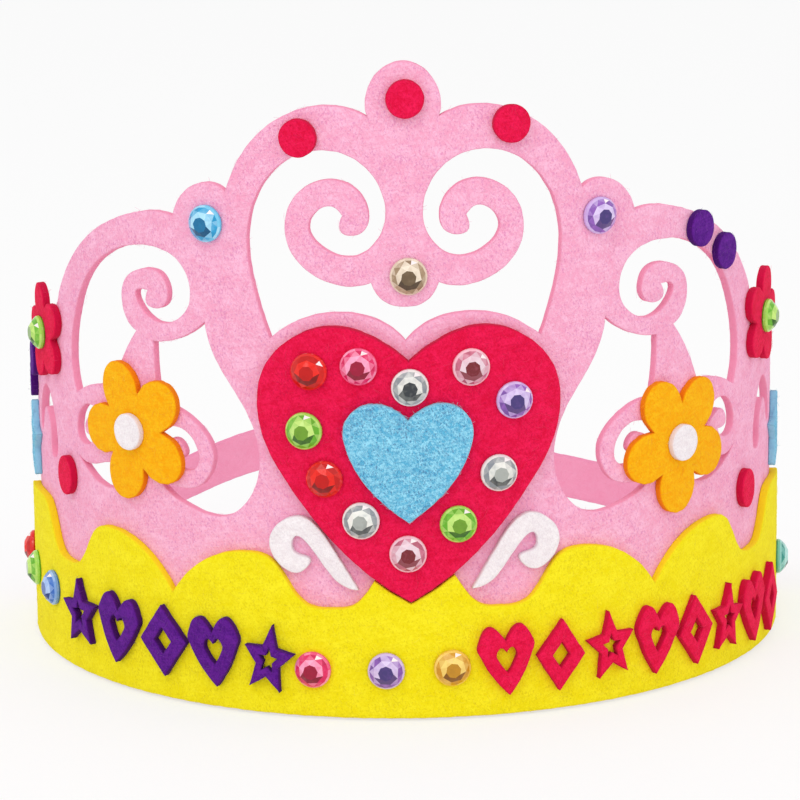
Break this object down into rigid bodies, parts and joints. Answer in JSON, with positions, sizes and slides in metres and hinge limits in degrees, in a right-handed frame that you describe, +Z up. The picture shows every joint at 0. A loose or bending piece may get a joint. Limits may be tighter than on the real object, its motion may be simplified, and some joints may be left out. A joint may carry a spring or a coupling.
{
  "type": "felt crown",
  "caption": "Felt party crown: a ring of scrollwork felt with a wavy band, hearts, flowers and stick-on gems, closed at the back by a strap.",
  "frame": {"origin": "on the axis of the head ring, level with the bottom edge that the crown stands on", "axes": "+Z up from the bottom edge to the top lobe, -Y out through the middle of the front, +X towards the wearer's left"},
  "size_m": [0.1852, 0.1794, 0.147],
  "materials": {
    "pink_felt": "soft matt needled felt, 2 mm craft sheet",
    "yellow_felt": "soft matt needled felt, 2 mm craft sheet",
    "strap_felt": "soft matt felt strip",
    "magenta_felt": "soft matt needled felt, 2 mm craft sheet",
    "blue_felt": "soft matt needled felt, 2 mm craft sheet",
    "white_felt": "soft matt needled felt, 2 mm craft sheet",
    "orange_felt": "soft matt needled felt, 2 mm craft sheet",
    "purple_felt": "soft matt needled felt, 2 mm craft sheet",
    "gem_red": "faceted, glossy, foil-backed acrylic",
    "gem_pink": "faceted, glossy, foil-backed acrylic",
    "gem_clear": "faceted, glossy, foil-backed acrylic",
    "gem_blush": "faceted, glossy, foil-backed acrylic",
    "gem_lilac": "faceted, glossy, foil-backed acrylic",
    "gem_green": "faceted, glossy, foil-backed acrylic",
    "gem_amber": "faceted, glossy, foil-backed acrylic",
    "gem_champagne": "faceted, glossy, foil-backed acrylic",
    "gem_cyan": "faceted, glossy, foil-backed acrylic",
    "gem_blue": "faceted, glossy, foil-backed acrylic",
    "gem_teal": "faceted, glossy, foil-backed acrylic"
  },
  "bodies": {
    "root": {"back_strap": "strap_felt", "crown_body": "pink_felt", "cutout_magenta_1": "magenta_felt", "cutout_magenta_2": "magenta_felt", "cutout_magenta_3": "magenta_felt", "cutout_magenta_4": "magenta_felt", "cutout_magenta_5": "magenta_felt", "cutout_magenta_6": "magenta_felt", "cutout_magenta_7": "magenta_felt", "cutout_magenta_8": "magenta_felt", "cutout_purple_1": "purple_felt", "cutout_purple_2": "purple_felt", "cutout_purple_3": "purple_felt", "cutout_purple_4": "purple_felt", "cutout_purple_5": "purple_felt", "dot_left": "magenta_felt", "dot_right": "magenta_felt", "dot_top": "magenta_felt", "flower_centre_left": "white_felt", "flower_centre_right": "white_felt", "flower_left": "orange_felt", "flower_right": "orange_felt", "gem_band_amber": "gem_amber", "gem_band_blue": "gem_blue", "gem_band_green_3": "gem_green", "gem_band_lilac_2": "gem_lilac", "gem_band_pink_2": "gem_pink", "gem_band_red_3": "gem_red", "gem_band_teal": "gem_teal", "gem_champagne": "gem_champagne", "gem_cyan": "gem_cyan", "gem_flower_green_left": "gem_green", "gem_flower_green_right": "gem_green", "gem_heart_blush_1": "gem_blush", "gem_heart_blush_2": "gem_blush", "gem_heart_clear_1": "gem_clear", "gem_heart_clear_2": "gem_clear", "gem_heart_clear_3": "gem_clear", "gem_heart_green_1": "gem_green", "gem_heart_green_2": "gem_green", "gem_heart_lilac_1": "gem_lilac", "gem_heart_pink_1": "gem_pink", "gem_heart_red_1": "gem_red", "gem_heart_red_2": "gem_red", "gem_lilac_3": "gem_lilac", "large_heart": "magenta_felt", "oval_left": "magenta_felt", "oval_right": "magenta_felt", "purple_dot_left_1": "purple_felt", "purple_dot_left_2": "purple_felt", "purple_dot_right_1": "purple_felt", "purple_dot_right_2": "purple_felt", "side_flower_left": "magenta_felt", "side_flower_right": "magenta_felt", "small_heart": "blue_felt", "star_left": "blue_felt", "star_right": "blue_felt", "swirl_left": "white_felt", "swirl_right": "white_felt", "yellow_band": "yellow_felt"}
  },
  "joints": []
}
